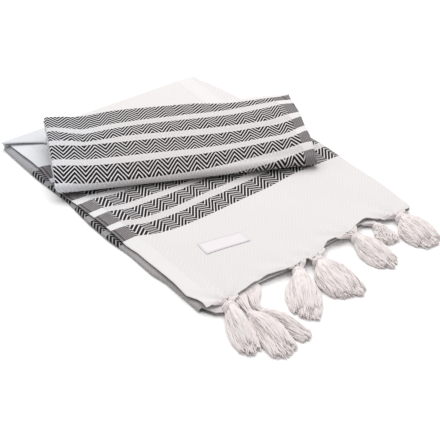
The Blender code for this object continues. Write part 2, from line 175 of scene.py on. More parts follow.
# Points of the sheet
FOLD_STEPS = 7
ROLL_STEPS = 14  # round the bundle's front
HEM_STATIONS_SHARE = 0.35  # of the usual distance between stations, near the hem
SIDE_FOLD_POINTS = 6
FREE_PLY_POINTS = 44  # across the bundle's uppermost ply
MIDDLE_PLY_POINTS = 22
TOP_PLY_POINTS = 72  # across the bottom layer's uppermost ply
EVEN_SHARE = 0.45  # the rest of their spacing crowds them towards the edges
SHADED_SIDE = (-153, -162)  # across, where the left side falls into shade

# Where the hem lies along Y at these shares of the band's width
HEM_SHARES = (0, 0.10, 0.26, 0.41, 0.515, 0.60, 0.685, 0.80, 0.925, 1)
HEM_Y = (3, 4, 8, 8, 12, 23, 26, 34, 27, 25)
HEM_PLACES = (-10, 360, 149)  # along X: first, last, count
# Between the tassels the hem stands up a little and draws back in shallow scallops
HEM_LIFT = 3.4
HEM_LIFT_REACH = 15.0
HEM_RIPPLES = ((0.9, 5.3, 0.4), (0.7, 3.1, 1.9), (0.5, 8.7, 3))  # height, length / 2 pi, start
SCALLOP_DEPTH = 5.0
SCALLOPS_LEFT = (8, 40)  # along X, where they begin at either side
SCALLOPS_RIGHT = (BAND_WIDTH, BAND_WIDTH - 20)
# Ridges that run into the cloth from each tassel's root
RIDGES = 7
RIDGE_START = 5.0
RIDGE_REACH = 42.0
RIDGE_HEIGHT = 1.9
RIDGE_EASE = 9.0
ROOT_LIFT = 1.4
# Soft waves of the upper ply: height, length / 2 pi along x and y, start
SOFT_WAVES = (
    (0.55, 19, 31, 0.4),
    (0.45, -27, 17, 2.1),
    (0.25, 11, -23, 4),
)

# Weave. Along the cloth the stripes are counted in even steps
STRIPE_PITCH = 40.0
STRIPE_WIDTH = 29.0
STRIPES = 6
ZIGZAG_HALF = 13.1  # half of the zigzag's repeat across the cloth
ZIGZAG_RISE = 2.67  # how many line pitches it climbs in that half
LINE_PITCH = 7.0  # between two black lines, along the cloth
LINE_RUN_ON = 4.0  # the lines keep their step this far beyond a stripe,
LINES_REACH = 2000.0  # and beyond the outer ones they go on this far
SELVEDGE_WIDTH = 20.0
SECOND_GROUP = 1000.0  # where the bundle's stripes start in the same count
# Bottom layer: for each x, the y at which its six dark stripes begin and end
STACK_STRIPES = {
    3: (169.2, 196.7, 207.5, 236.3, 250, 275.8, 289, 317, 325, 344, 355, 388),
    22: (171.7, 197.5, 210.3, 238.3, 251.7, 278.3, 290, 318, 326, 345, 354, 384),
    30: (168.3, 195.8, 209.2, 237, 250, 277, 288, 317, 327, 348, 357, 385),
    40: (163.3, 191.7, 205.3, 233.3, 246.7, 274, 286, 315, 327, 355, 366, 395),
    50: (159.7, 188.3, 202.8, 230.5, 244.2, 271, 284, 313, 325, 353, 364, 393),
    70: (157.5, 187.8, 201.7, 230.3, 242.5, 270.3, 283, 312, 324, 352, 363, 392),
    100: (158.7, 188, 202, 230.3, 241.7, 270, 282, 311, 323, 351, 362, 391),
    130: (160.3, 189.2, 203, 231.7, 242, 271, 283, 312, 324, 352, 363, 392),
    281: (178, 207, 220, 249, 260, 289, 301, 328, 336, 360, 368, 392),
    346: (181, 210, 223, 252, 263, 292, 301, 325, 331, 352, 358, 380),
}
# At each point: even steps, count of lines, place in the zigzag, distance from a selvedge, shade
WEAVE = ("steps", "lines", "zigzag", "edge", "shade")
STACK_PHASES = (0.22, 0.37, 0.16, 0.3, 0.1, 0.6)
STACK_ZIGZAG_SHIFT = 10.0
# Bundle: for each distance from the free edge, how far down its stripes begin and end
BUNDLE_STRIPES = {
    0: (3, 16.7, 31.4, 58.5, 69.5, 88.9, 101.8, 126.4, 138.5, 167.5),
    5: (4.4, 19.4, 30.8, 59.6, 71.3, 90.1, 103, 126.4, 139, 168),
    15: (7.2, 18.1, 30.3, 61.8, 74.8, 94.6, 109.9, 127.5, 140.5, 169.5),
    30: (8, 19.5, 34.1, 65.3, 80.4, 104, 115.8, 131.6, 144.5, 173.5),
    45: (8.3, 21.6, 36.8, 70.4, 82.3, 106.7, 116.8, 134.5, 147.5, 176.5),
    65: (8.5, 23.8, 39.8, 70.9, 81.4, 107.4, 117.9, 136.8, 150.5, 179.5),
    85: (7.7, 26.4, 42.4, 70.7, 82.5, 109.2, 119.6, 139.2, 152.5, 181.5),
    105: (5.4, 28.4, 43.3, 71, 83.9, 110.7, 121.4, 142, 155, 184),
    125: (1.1, 30, 44.3, 72.1, 84.6, 112.6, 123.1, 145.8, 157.5, 186.5),
    155: (-5.3, 30.9, 45.2, 72.6, 84.5, 113.5, 125.4, 148.7, 159.5, 188.5),
    185: (-21, 33, 45.6, 72.4, 83.6, 113.4, 125.5, 149.9, 160.5, 189.5),
    215: (-21, 34.3, 47, 71.6, 82.9, 113.4, 126, 150.5, 160.5, 189.5),
    245: (-19, 37.1, 49.1, 71.9, 82.7, 113.3, 126, 150.5, 160.5, 189.5),
    275: (-15, 37.3, 52.5, 74.6, 82.5, 112.9, 125.2, 150.4, 160.5, 189.5),
    298: (-13, 39.7, 55.8, 75.9, 82.4, 112.1, 124, 149.9, 160.5, 189.5),
    315: (-11, 34.6, 49.6, 70.2, 79.8, 108.9, 121, 148.7, 159, 188),
    335: (-11, 29.5, 40.2, 66.3, 76.1, 103.5, 117.3, 145.1, 156, 185),
}
BUNDLE_PHASES = (0.27, -0.40, -0.09, 0.04, 0.5)
# Zigzag peaks on the bundle, from the free edge; and how they drift down its front
BUNDLE_PEAKS = (26.2, 52.4, 78.6, 104.8, 129.8, 156, 181, 207.1, 232.9, 259.5, 286.9, 314.3, 341.7)
PEAK_DRIFT = ((15, -1.5), (55, -0.5), (95, -0.5), (135, 4), (150, 5))
# The selvedge's inner side wanders: place down the bundle, shift
SELVEDGE_DRIFT = ((10, 6.5), (45, -4))

Tassel = collections.namedtuple(
    "Tassel", "name ply root_x fan_width knot_x knot_y tip_x tip_y spread knot_width")
TASSELS = [Tassel(*row) for row in (
    ("tassel_far", "top", 306, 36, 310, 13, 303, -46, 46, 18),
    ("tassel_second", "top", 230, 36, 236, 12, 234, -49, 41, 17),
    ("tassel_round", "top", 173, 30, 166, -1, 157, -69, 50, 19),
    ("tassel_side", "top", 139, 26, 134, -2, 92, -70, 43, 17),
    ("tassel_near", "top", 33, 36, 30, -11, 5, -81, 30, 19),
    ("tassel_low_far", "lower", 271, 20, 275, 19, 266, -15, 24, 13),
    ("tassel_low_middle", "lower", 73, 22, 58, -36, 72, -98, 23, 12),
    ("tassel_low_near", "lower", 53, 18, 44, -31, 36, -106, 36, 12),
)]
TOP_TASSELS = [row for row in TASSELS if row.ply == "top"]
CURLY_TASSEL = "tassel_low_far"

# Yarns
YARN_RADIUS = 0.85
YARN_SIDES = 5
PLY_LENGTH = 7.0  # one turn of a yarn's two plies
PLY_DEPTH = 0.14
STEEP = 0.8  # yarns that climb more are turned about another line
STEEP_REFERENCE = (0.31, 0.95, 0.05)
FLOOR_GAP = 0.35  # under the skirts, for the yarns' lobes
NECK_GAP = 0.1  # under fans and knots
# Fans of warp yarns between hem and knot
FAN_PITCH = 1.25
FAN_LEVELS = 2
FAN_LEVEL_PITCH = 0.45
FAN_RADIUS = 0.55
FAN_RADII = (0.85, 1.1)  # of that radius
FAN_POINTS = 12
FAN_JITTER = 0.02  # of half the fan's width
FAN_START = 0.25  # in front of the hem
FAN_IN_KNOT = (0.28, 0.26)  # shares of the knot's width, aside and up
FAN_WITHIN = (0.2, 0.85)
FAN_PULLS = (0.35, 0.40)  # of a yarn's length, at its two ends
FAN_SWAY = (-0.6, 0.5)  # of the first pull
FAN_ASIDE = 0.5  # of the second pull
# Knots
KNOT_FLATNESS = 0.78
KNOT_REST = 0.2  # over the floor
KNOT_POINTS = 26
# Bands of yarn round a knot: tilt, loops, swell, share of the width
KNOT_BANDS = ((0.45, 7, 1, 0.72), (-0.6, 4, 1.05, 0.42))
KNOT_WOBBLE = 0.03
KNOT_TURN = 6.0
KNOT_SLIDE = 0.4
KNOT_YARN = 0.95  # of a yarn's radius
NECK = 0.35  # of the knot's width, back to the fan's end
# Skirts: locks of yarns in tiers, one on the other
SKIRT_POINTS = 18
SKIRT_START = 0.15  # of the knot's width
SKIRT_OPENS = 1.6  # times sooner than at its end
SKIRT_DRAWN_IN = 0.07  # at its end
SKIRT_END = 0.7  # shares of the length at which skirt, locks and yarns begin to end
LOCK_END = 0.8
YARN_END = 0.9
SKIRT_AT_KNOT = (0.38, 0.26)  # of the knot's width and height
LOCK_PITCH = 9.0
LOCK_TIERS = 3
LOWEST_TIER = 0.7  # below the knot's middle, in tiers
FEWEST_LOCKS = 3
LOCK_RADII = (1.1, 1.35)  # of half their pitch
LOCK_SHORTER = 0.16  # at either side
TIER_SHORTER = 0.07
TIER_LIFT = 0.95  # of a lock's radius
LOCK_DRIFT = 0.05  # of the spread
LOCK_BEND = 1.4
LOCK_SPIN = 1.6  # radians
LOCK_REST = 0.78  # height of its middle in radii
LOCK_SINK = 0.55  # at its end
LOCK_FLATNESS = 0.75
LOCK_SWELL = (0.40, 0.12)  # radius at the knot, loss at its end
LOCK_CORE = 0.12  # of its area, free of yarns
FEWEST_YARNS = 8
YARNS_PER_AREA = 1.65  # for a lock's radius squared
YARN_STEP = 2.39996  # radians between a lock's yarns
YARN_SHORTER = 0.05  # at the outside of its lock
YARN_TAPER = 0.55  # at its end
YARN_RADII = (0.9, 1.2)  # of a yarn's radius
YARN_FLATTEST = 0.12  # of its height, where the floor stops it
UNEVEN = 0.05  # of a length, to either side
CURL = 0.45
CURLY = 1.3
CURL_UP = 0.6  # of its size aside
CURL_TURN = 6.28
CURLS = (2, 3.6)  # waves along a yarn
CURLS_UP = 0.7  # more of them up and down


def smoothstep(low, high, value):
    share = np.clip((value - low) / (high - low), 0, 1)
    return share * share * (3 - 2 * share)


def bump(value, centre, reach):
    return np.exp(-(((value - centre) / reach) ** 2))


def between(share, first, last):
    return (1 - share) * first + share * last


def read_off(place, table):
    """The value at a place of a table of places and values."""
    return np.interp(place, *zip(*table))


def unit(rows):
    return rows / np.linalg.norm(rows, axis=1)[:, None]


def length_along(points):
    return np.r_[0, np.cumsum(np.linalg.norm(np.diff(points, axis=0), axis=1))]


def direction_at(degrees):
    angle = math.radians(degrees)
    return np.array([math.cos(angle), math.sin(angle)])


# From the stack's left front corner to the frame's origin, found from the label
label_low, label_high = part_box("label")
label_middle = (label_low + label_high) / 2 / MM
CORNER_SHIFT = np.array([label_middle.x - LABEL_CENTRE[0], label_middle.y - LABEL_CENTRE[1], 0])


def in_frame(points):
    return (np.asarray(points, float) + CORNER_SHIFT) * MM


# ---- shaders ----

def maths(operation, swapped=False):
    """A method of Wire that puts it and its other terms through a maths node."""
    def method(wire, *others):
        terms = (*others, wire) if swapped else (wire, *others)
        return wire.finish.node("Math", dict(enumerate(terms)), operation=operation)
    return method


class Wire:
    """A shader socket that takes part in Python sums."""

    __add__ = __radd__ = maths("ADD")
    __sub__ = maths("SUBTRACT")
    __rsub__ = maths("SUBTRACT", swapped=True)
    __mul__ = __rmul__ = maths("MULTIPLY")
    __truediv__ = maths("DIVIDE")
    __lt__ = maths("LESS_THAN")
    __gt__ = maths("GREATER_THAN")
    pingpong = maths("PINGPONG")
    fraction = maths("FRACT")
    size = maths("ABSOLUTE")
    sine = maths("SINE")

    def __init__(self, finish, socket):
        self.finish = finish
        self.socket = socket

    def eased(self, low, high):
        """0 below low, 1 above high, smooth between."""
        sockets = {"Value": self, "From Min": low, "From Max": high}
        return self.finish.node("MapRange", sockets, interpolation_type="SMOOTHSTEP")


class Finish:
    """A material and the nodes that feed its Principled shader."""

    def __init__(self, name, **fixed):
        self.material = bpy.data.materials.new(name)
        self.material.use_nodes = True
        self.tree = self.material.node_tree
        self.shader = self.tree.nodes["Principled BSDF"]
        for socket, value in fixed.items():
            self.set(socket.replace("_", " "), value)

    def node(self, kind, sockets, output=0, **settings):
        """Adds a node; settings are set before its sockets. Returns one of its outputs."""
        made = self.tree.nodes.new("ShaderNode" + kind)
        for setting, value in settings.items():
            setattr(made, setting, value)
        for key, value in sockets.items():
            self.feed(made.inputs[key], value)
        return Wire(self, made.outputs[output])

    def feed(self, socket, value):
        if isinstance(value, Wire):
            self.tree.links.new(value.socket, socket)
        elif socket.type == "RGBA":
            socket.default_value = (*value, 1)
        else:
            socket.default_value = value

    def set(self, socket, value):
        self.feed(self.shader.inputs[socket], value)

    def attribute(self, name):
        return self.node("Attribute", {}, "Fac", attribute_name=name)

    def rest_place(self):
        return self.node("TexCoord", {}, "Object")

    def noise(self, scale, detail=2):
        """Noise over the rest place in metres."""
        return self.node("TexNoise", {
            "Vector": self.rest_place(), "Scale": scale, "Detail": detail})

    def wander(self, scale, reach):
        """Noise that goes half its reach to either side of 0."""
        return (self.noise(scale, 1) - 0.5) * reach

    def mixed(self, share, first, second, blend="MIX"):
        """A colour between two others."""
        colours = {0: share, 6: first, 7: second}
        return self.node("Mix", colours, 2, data_type="RGBA", blend_type=blend)

    def bumped(self, height, strength, distance):
        bump_sockets = {"Height": height, "Strength": strength, "Distance": distance}
        self.set("Normal", self.node("Bump", bump_sockets))


# ---- crease lines and heights ----

ALONG_BUNDLE, INTO_BUNDLE = direction_at(BUNDLE_ANGLE), direction_at(BUNDLE_ANGLE + 90)
# The creases, each by the layer that ends there: a point on it and its direction
LINES = {name: (np.array([x, y]), direction_at(angle))
         for name, (x, y, angle) in (("hem", HEM_CREASE), ("bottom", BACK_CREASE))}
for name, stations, depth, extra in LAYERS:
    LINES[name] = (BUNDLE_FRONT + depth * INTO_BUNDLE, direction_at(BUNDLE_ANGLE + extra))


def on_crease(name, across):
    centre, direction = LINES[name]
    return centre + np.outer(across, direction)


def depth_in_bundle(points):
    return (points - BUNDLE_FRONT) @ INTO_BUNDLE


def side_of_bundle(points):
    """From -1 at its left side to 1 at its right one."""
    return (points - BUNDLE_FRONT) @ ALONG_BUNDLE / HALF_BAND


def loose_pitch(points):
    x, y = points[:, 0], points[:, 1]
    puff = sum(change * bump(y, place, reach) for place, reach, change in LEFT_PUFFS)
    return LOOSE_PITCH + smoothstep(LEFT_PUFF_WIDTH, 0, x) * puff


def bundle_dip(points):
    dip = DIP_DEPTH * bump(side_of_bundle(points), DIP_PLACE, DIP_REACH)
    return dip * smoothstep(*DIP_BACK, depth_in_bundle(points))


def bundle_relief(points):
    side = side_of_bundle(points)
    rise = BUNDLE_SWELL * (1 - side**2) + RIGHT_RISE * smoothstep(*RIGHT_RISE_FROM, side)
    return (rise - bundle_dip(points)) * smoothstep(*SWELL_FRONT, depth_in_bundle(points))


def layer_height(name, points):
    """The height of a layer's middle ply."""
    if name == "bottom":
        return loose_pitch(points) + CLOTH_THICKNESS / 2
    depth = depth_in_bundle(points)
    height = np.full(len(points), BOTTOM_LAYER + LAYER / 2)
    level = [row[0] for row in STACKING].index(name)
    for lower, edge, sink in STACKING[:level]:
        sink = TUCKED_SINK if name.startswith("tucked") else sink
        height = height + LAYER * smoothstep(edge - sink, edge, depth)
    return height + level / (len(STACKING) - 1) * bundle_relief(points)


def layer_pitch(name, points):
    if name == "bottom":
        return loose_pitch(points)
    return TIGHT_PITCH - bundle_dip(points) / (2 * (len(STACKING) - 1))


# ---- the band's own section ----

def ply_shares(count):
    """Shares of a ply's width, closer together towards its edges."""
    even = np.linspace(0, 1, count)
    return EVEN_SHARE * even + (1 - EVEN_SHARE) * (0.5 - 0.5 * np.cos(math.pi * even))


def side_fold(side, ply, level):
    points = []
    for place in np.linspace(-FOLD_SPAN, FOLD_SPAN, SIDE_FOLD_POINTS):
        angle = place * math.pi
        across = side * (HALF_BAND + FOLD_OUTSET * math.cos(angle))
        points.append((across, level + math.sin(angle) / 2, ply))
    return points


def band_section():
    """The three plies and the folds between them: rows of across, level in pitches, ply."""
    free, top = ply_shares(FREE_PLY_POINTS)[::-1], ply_shares(TOP_PLY_POINTS)[::-1]
    line = [(-HALF_BAND + share * OUTER_PLY, -1, 0) for share in free]
    line += side_fold(-1, 0, -0.5)
    line += [(-HALF_BAND + share * BAND_WIDTH, 0, 1) for share in ply_shares(MIDDLE_PLY_POINTS)]
    line += side_fold(1, 2, 0.5)
    line += [(HALF_BAND - (1 - share) * OUTER_PLY, 1, 2) for share in top]
    return np.array(line)


def section_steps(section):
    """Distances from the first selvedge, and the direction across the cloth, at each point."""
    points = section[:, :2] * (1, TIGHT_PITCH)
    x, y = unit(np.vstack([points[1:], points[-1:]]) - np.vstack([points[:1], points[:-1]])).T
    return length_along(points), np.column_stack([-y, x])


SECTION = band_section()
SECTION_PLACE, SECTION_NORMAL = section_steps(SECTION)
FLAT_WIDTH = SECTION_PLACE[-1]


def edge_wave(turns):
    return EDGE_WAVE * math.sin(EDGE_WAVE_TURNS * turns)


def hem_line(across, ply):
    """The hem's shape, as a shift along Y from the hem crease."""
    shares, shifts = np.array(HEM_SHARES), np.array(HEM_Y)
    aside = across + LINES["hem"][0][0]
    inner = smoothstep(*SCALLOPS_LEFT, aside) * smoothstep(*SCALLOPS_RIGHT, aside)
    top = np.interp(across, HALF_BAND - (1 - shares) * OUTER_PLY, shifts)
    top = top + SCALLOP_DEPTH * (1 - root_share(aside)) * inner
    lower = np.interp(across, -HALF_BAND + shares * BAND_WIDTH, shifts + LOWER_HEM_BACK)
    return np.where(ply == 2, top, lower + read_off(across / BAND_WIDTH + 0.5, LOWER_CORNER))


def left_side(y, across, level):
    """How far the bottom layer's plies stand out on their left."""
    folded, free = read_off(y, LEFT_SIDE), read_off(y, LEFT_TOP_EDGE)
    reach = folded + (free - folded) * np.clip(level, 0, 1)
    return reach * np.clip(-across / HALF_BAND, 0, 1) ** 2


def top_relief(points):
    """Height of the ridges and soft waves of the bottom layer's uppermost ply."""
    x, y = points[:, 0], points[:, 1]
    relief = np.zeros(len(points))
    for row in TOP_TASSELS:
        aside = x - row.root_x
        back = np.maximum(y - hem_front(row.root_x, 2), 0) + RIDGE_START
        reach = np.hypot(aside, back)
        ripple = np.cos(RIDGES * np.arctan2(aside, back) + row.root_x)
        rise = RIDGE_HEIGHT * ripple * smoothstep(0, RIDGE_EASE, reach) + ROOT_LIFT
        relief += bump(reach, 0, RIDGE_REACH) * rise
    behind = y - np.interp(x, *hem_places())
    lift = HEM_LIFT + sum(height * np.sin(x / turn + start) for height, turn, start in HEM_RIPPLES)
    relief += bump(behind, 0, HEM_LIFT_REACH) * lift * (1 - root_share(x))
    for height, x_turns, y_turns, start in SOFT_WAVES:
        relief += height * np.sin(x / x_turns + y / y_turns + start)
    return relief


def root_share(x):
    """1 where a tassel of the top ply leaves the hem, 0 half way to the next one."""
    return np.maximum.reduce([bump(x, row.root_x, row.fan_width) for row in TOP_TASSELS])


@functools.lru_cache
def hem_places():
    """Places along X, and where the uppermost ply's hem lies there."""
    places = np.linspace(*HEM_PLACES)
    return places, np.array([hem_front(x, 2) for x in places])


def hem_front(x, ply):
    centre, direction = LINES["hem"]
    across = (x - centre[0]) / direction[0]
    return centre[1] + across * direction[1] + hem_line(across, ply)


# Points round the folded sheet, with what the weave needs to know of them
Ring = collections.namedtuple("Ring", "points middle place reach distance bottom shade")


class SheetBuilder:
    """Collects the rings of the folded sheet."""

    def __init__(self):
        self.rings = []
        self.travelled = 0
        self.last_middle = None

    def ring(self, place, pitch, up, wave, on_bundle, hem_share=0, bottom=False):
        across, level, ply = SECTION.T
        edge = smoothstep(EDGE_ZONE, 1, np.abs(across) / HALF_BAND)
        shift = 1 + (TOP_PLY_WAVE - 1) * np.clip(level, 0, 1)
        free_edge = on_bundle * FREE_EDGE_REACH
        freed = edge * (ply == 0) * (across > 0)
        across = across + wave * edge * shift + free_edge * freed
        centre = place(across)
        stack = up(centre)
        middle = centre + (level * pitch(centre))[:, None] * stack
        middle[:, 1] += hem_share * hem_line(across, ply)
        if bottom:
            middle[:, 0] -= left_side(middle[:, 1], across, level)
            middle[:, 2] += (level + 1) / 2 * top_relief(middle)
        sideways = place(across + SECTION_NORMAL[:, 0]) - centre
        sideways[:, 2] = 0
        offset = CLOTH_THICKNESS / 2 * (sideways + SECTION_NORMAL[:, 1:2] * stack)
        ends = []
        for first, second in ((-1, -2), (0, 1)):
            out = middle[first] - middle[second]
            ends.append(middle[first] + CLOTH_THICKNESS / 2 * out / np.linalg.norm(out))
        points = np.vstack([middle + offset, ends[:1], (middle - offset)[::-1], ends[1:]])

        centre_line = place(np.array([0]))[0]
        if self.last_middle is not None:
            self.travelled += np.linalg.norm(centre_line - self.last_middle)
        self.last_middle = centre_line
        shade = bottom * (level < 0.5) * smoothstep(*SHADED_SIDE, SECTION[:, 0])
        self.rings.append(Ring(points, middle, SECTION_PLACE + free_edge * (1 - freed),
                               FLAT_WIDTH + free_edge, self.travelled, bottom, shade))


def run_on(values, reach):
    """The values with one more at either end, this far off."""
    return np.r_[values[0] - reach, values, values[-1] + reach]


def stripe_steps(place, aside, stripes, phases):
    """Even steps along the cloth and the count of black lines, from a table of the stripes."""
    ends = np.array([np.interp(aside, list(stripes), column)
                     for column in zip(*stripes.values())]).T
    even = np.arange(len(phases))[:, None] * STRIPE_PITCH + (0, STRIPE_WIDTH)
    even = run_on(even.ravel(), STRIPE_PITCH)
    steps, lines = [], []
    for here, row in zip(place, ends):
        steps.append(np.interp(here, run_on(row, STRIPE_PITCH), even))
        knots = row + np.tile((-LINE_RUN_ON, LINE_RUN_ON), len(phases))
        counts = (knots - np.repeat(row[::2], 2)) / LINE_PITCH + np.repeat(phases, 2)
        lines.append(np.interp(here, run_on(knots, LINES_REACH),
                               run_on(counts, LINES_REACH / LINE_PITCH)))
    return np.array(steps), np.array(lines)


def weave_attributes(sheet, top_start):
    """What the finish needs at each point of the sheet."""
    found = []
    turns = [ZIGZAG_HALF * (2 * k - 1) for k in range(len(BUNDLE_PEAKS))]
    for ring in sheet.rings:
        place = ring.place
        edge = np.minimum(place, ring.reach - place)
        if ring.bottom:
            aside, back = ring.middle[:, 0], ring.middle[:, 1]
            steps, lines = stripe_steps(back, aside, STACK_STRIPES, STACK_PHASES)
            zigzag = place - ring.reach + STACK_ZIGZAG_SHIFT
        else:
            down = np.full(len(place), ring.distance - top_start)
            steps, lines = stripe_steps(down, place, BUNDLE_STRIPES, BUNDLE_PHASES)
            steps = steps + SECOND_GROUP
            drifted = place - read_off(down, PEAK_DRIFT)
            beyond = drifted - np.clip(drifted, BUNDLE_PEAKS[0], BUNDLE_PEAKS[-1])
            zigzag = np.interp(drifted, BUNDLE_PEAKS, turns) + beyond
            edge = edge - read_off(down, SELVEDGE_DRIFT)
        rows = np.array([steps, lines, zigzag, edge, ring.shade])
        found += [rows, rows[:, -1:], rows[:, ::-1], rows[:, :1]]
    return dict(zip(WEAVE, np.hstack(found)))


def layer_ring(sheet, before, name, share, heading, wave, on_bundle):
    """A ring part of the way along a layer."""
    flat = name == "bottom"

    def place(across):
        plan = between(share, on_crease(before, across), on_crease(name, across))
        if flat:
            swing = max(0, math.sin(math.pi * share)) ** RIGHT_BULGE_POWER
            plan[:, 0] += RIGHT_BULGE * swing * np.maximum(across, 0) / HALF_BAND
        if name != "second":
            return np.column_stack([plan, layer_height(name, plan)])
        leftward = np.maximum(-across, 0) / HALF_BAND
        plan[:, 0] += read_off(plan[:, 1], SECOND_DRAWN_IN) * leftward**SECOND_DRAWN_POWER
        sag, middle, reach = SECOND_SAG
        sunk = sag * leftward**2 * bump(plan[:, 1], middle, reach)
        return np.column_stack([plan, layer_height(name, plan) - sunk])

    def pitch(points):
        return layer_pitch(name, points[:, :2])

    def up(points):
        return np.array([0, 0, heading])

    hem_share = (1 - share) ** HEM_FADE if flat else 0
    sheet.ring(place, pitch, up, wave, on_bundle, hem_share, bottom=flat)


def fold_ring(sheet, name, following, share, heading, wave, on_bundle):
    """A ring part of the way round the half round between a layer and the following one."""
    along_x, along_y = LINES[name][1]
    level_out = heading * np.array([-along_y, along_x])
    angle = math.pi * share

    def place(across):
        plan = on_crease(name, across)
        start, end = layer_height(name, plan), layer_height(following, plan)
        radius = np.abs(end - start) / 2
        swept = plan + np.outer(radius * math.sin(angle), level_out)
        height = (start + end) / 2 + (start - end) / 2 * math.cos(angle)
        return np.column_stack([swept, height])

    def pitch(points):
        plan = points[:, :2]
        return between(share, layer_pitch(name, plan), layer_pitch(following, plan))

    def up(points):
        plan = points[:, :2]
        rising = np.sign(layer_height(following, plan) - layer_height(name, plan))
        level_part = np.outer(-heading * math.sin(angle) * rising, level_out)
        return np.column_stack([level_part, np.full(len(points), heading * math.cos(angle))])

    sheet.ring(place, pitch, up, wave, on_bundle)


def folded_sheet():
    """All the rings, and how far along the cloth the top layer starts."""
    sheet = SheetBuilder()
    rows = [("bottom", BOTTOM_STATIONS)] + [row[:2] for row in LAYERS]
    before, heading = "hem", 1
    for index, (name, stations) in enumerate(rows):
        here = float(name in ON_BUNDLE)
        even = np.linspace(0, 1, stations)
        evenness = HEM_STATIONS_SHARE if name == "bottom" else 1
        for share in evenness * even + (1 - evenness) * even**2:
            layer_ring(sheet, before, name, share, heading, edge_wave(index), here)
            if name == "top" and share == 0:
                top_start = sheet.travelled
        if index + 1 < len(rows):
            following = rows[index + 1][0]
            steps = ROLL_STEPS if name == "top" else FOLD_STEPS
            for share in np.arange(1, steps + 1) / (steps + 1):
                on_bundle = between(share, here, float(following in ON_BUNDLE))
                wave = edge_wave(index + share)
                fold_ring(sheet, name, following, share, heading, wave, on_bundle)
        before, heading = name, -heading
    return sheet, top_start


# ---- meshes ----

def placed(name, data):
    """A new object in the scene."""
    made = bpy.data.objects.new(name, data)
    bpy.context.scene.collection.objects.link(made)
    return made


def mesh_object(name, points, faces, attributes, finish, smooth_angle=60):
    """An object from points in millimetres, with one number for each attribute at each point."""
    mesh = bpy.data.meshes.new(name)
    mesh.from_pydata(in_frame(points).tolist(), [], faces)
    for key, values in attributes.items():
        layer = mesh.attributes.new(key, "FLOAT", "POINT")
        layer.data.foreach_set("value", np.asarray(values, np.float32).ravel())
    mesh.shade_smooth()
    mesh.set_sharp_from_angle(angle=math.radians(smooth_angle))
    mesh.materials.append(finish.material)
    mesh.validate()
    return placed(name, mesh)


def outward_faces(points, faces):
    """Turns every face round if the closed shape is inside out."""
    first, second, third = (np.array([points[face[k]] for face in faces]) for k in range(3))
    volume = np.einsum("ij,ij->i", first, np.cross(second, third)).sum()
    return faces if volume > 0 else [face[::-1] for face in faces]


def tube_faces(rings, around, start=0, closed=False):
    """Faces between rings of points; a closed tube's last ring is joined to its first."""
    faces = []
    for r in range(rings if closed else rings - 1):
        one, other = start + r * around, start + (r + 1) % rings * around
        for i in range(around):
            j = (i + 1) % around
            faces.append((one + i, one + j, other + j, other + i))
    return faces


def make_cloth(finish, sheet, top_start):
    points = np.vstack([ring.points for ring in sheet.rings])
    around = len(sheet.rings[0].points)
    faces = tube_faces(len(sheet.rings), around)
    half = len(SECTION)
    ends = [(i, i + 1, 2 * half - i - 1, 2 * half - i) for i in range(half - 1)]
    ends += [(half - 1, half, half + 1), (0, 2 * half, 2 * half + 1)]
    for base, turn in ((0, -1), (len(points) - around, 1)):
        faces += [tuple(base + k for k in end)[::turn] for end in ends]
    faces = outward_faces(points, faces)
    return mesh_object("cloth", points, faces, weave_attributes(sheet, top_start), finish)


# ---- yarns ----

class YarnMesh:
    """Collects round yarns as one mesh."""

    def __init__(self, seed):
        self.chance = random.Random(seed)
        self.points = []
        self.faces = []
        self.count = 0

    def add(self, path, radius, closed=False):
        """A yarn along a path; radius is one number, or one for each point of the path."""
        count = len(path)
        ahead, behind = np.roll(path, -1, axis=0), np.roll(path, 1, axis=0)
        tangent = unit(ahead - behind if closed else np.gradient(path, axis=0))
        steep = abs(tangent[:, 2]).max() > STEEP
        side = unit(np.cross(tangent, STEEP_REFERENCE if steep else (0, 0, 1)))
        over = np.cross(side, tangent)
        turn = length_along(path)[:, None] / PLY_LENGTH * math.tau
        angles = np.arange(YARN_SIDES) / YARN_SIDES * math.tau
        lobed = 1 + PLY_DEPTH * np.cos(2 * (angles - turn))
        reach = np.reshape(radius, (-1, 1)) * lobed
        ring = (path[:, None] + (reach * np.cos(angles))[:, :, None] * side[:, None]
                + (reach * np.sin(angles))[:, :, None] * over[:, None])
        self.points.append(ring.reshape(-1, 3))
        # turned round, as these rings run the other way
        self.faces += [(b, a, d, c) for a, b, c, d in
                       tube_faces(count, YARN_SIDES, self.count, closed)]
        first, last = self.count, self.count + (count - 1) * YARN_SIDES
        if not closed:
            self.faces.append(tuple(first + i for i in range(YARN_SIDES)))
            self.faces.append(tuple(last + i for i in reversed(range(YARN_SIDES))))
        self.count += count * YARN_SIDES
        # unused, but without it the next yarns would fall another way
        self.chance.random()

    def finished(self, name, finish):
        return mesh_object(name, np.vstack(self.points), self.faces, {}, finish,
                           smooth_angle=80)


def bezier(start, start_pull, end_pull, end, count):
    t = np.linspace(0, 1, count)[:, None]
    return ((1 - t)**3 * start + 3 * (1 - t)**2 * t * start_pull
            + 3 * (1 - t) * t**2 * end_pull + t**3 * end)


